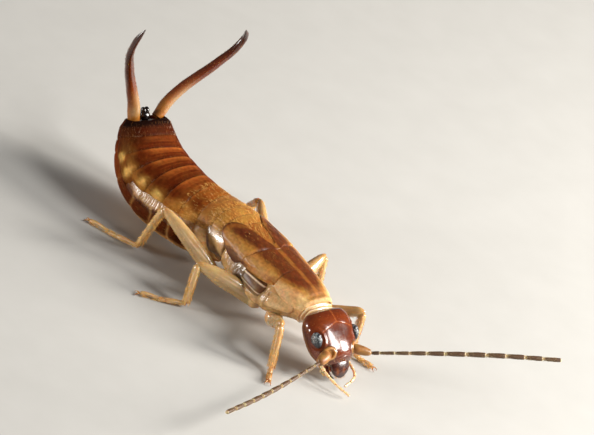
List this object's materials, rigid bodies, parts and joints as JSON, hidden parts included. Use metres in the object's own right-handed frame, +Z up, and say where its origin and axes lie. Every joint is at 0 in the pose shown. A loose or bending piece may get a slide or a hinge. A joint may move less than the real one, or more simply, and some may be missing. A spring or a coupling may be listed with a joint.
{
  "type": "earwig",
  "caption": "Life-size earwig nymph standing with raised tail: slender forceps spread, long feelers out, banded abdomen and bent legs.",
  "frame": {"origin": "centre of the model's footprint, on the ground that its feet stand on", "axes": "+Z up, -Y ahead, where the head faces, +X to the animal's left"},
  "size_m": [0.0106, 0.0125, 0.0058],
  "materials": {
    "head_shell": "glossy red-brown horn-like shell",
    "eye": "glossy blue-black facetted eye",
    "back_plate": "satin ochre plate with dark brown bands",
    "abdomen": "glossy mahogany plates with lighter rear rims",
    "tail_plate": "glossy near-black plate",
    "pale_skin": "pale tan skin, soft sheen",
    "limb": "pale translucent tan, glossy",
    "feeler": "grey-brown with fine pale down",
    "horn": "glossy horn, amber root to dark red-brown tip",
    "dark_horn": "glossy near-black horn"
  },
  "bodies": {
    "root": {"abdomen_01": "abdomen", "abdomen_02": "abdomen", "abdomen_03": "abdomen", "abdomen_04": "abdomen", "abdomen_05": "abdomen", "abdomen_06": "abdomen", "abdomen_07": "abdomen", "abdomen_08": "abdomen", "abdomen_09": "tail_plate", "abdomen_10": "tail_plate", "antenna_left_root": "limb", "antenna_left_whip": "feeler", "antenna_right_root": "limb", "antenna_right_whip": "feeler", "eye_left": "eye", "eye_right": "eye", "forceps_left": "horn", "forceps_right": "horn", "head": "head_shell", "jaw_left": "dark_horn", "jaw_right": "dark_horn", "leg_front_left_femur": "limb", "leg_front_left_foot": "limb", "leg_front_left_hip": "limb", "leg_front_left_tibia": "limb", "leg_front_right_femur": "limb", "leg_front_right_foot": "limb", "leg_front_right_hip": "limb", "leg_front_right_tibia": "limb", "leg_hind_left_femur": "limb", "leg_hind_left_foot": "limb", "leg_hind_left_hip": "limb", "leg_hind_left_tibia": "limb", "leg_hind_right_femur": "limb", "leg_hind_right_foot": "limb", "leg_hind_right_hip": "limb", "leg_hind_right_tibia": "limb", "leg_middle_left_femur": "limb", "leg_middle_left_foot": "limb", "leg_middle_left_hip": "limb", "leg_middle_left_tibia": "limb", "leg_middle_right_femur": "limb", "leg_middle_right_foot": "limb", "leg_middle_right_hip": "limb", "leg_middle_right_tibia": "limb", "lower_lip": "pale_skin", "mesonotum": "back_plate", "mesothorax_underside": "pale_skin", "metanotum": "back_plate", "metathorax_underside": "pale_skin", "neck": "pale_skin", "palp_left": "feeler", "palp_right": "feeler", "pronotum": "back_plate", "prothorax_underside": "pale_skin", "tail_knob": "dark_horn", "upper_lip": "head_shell"}
  },
  "joints": []
}
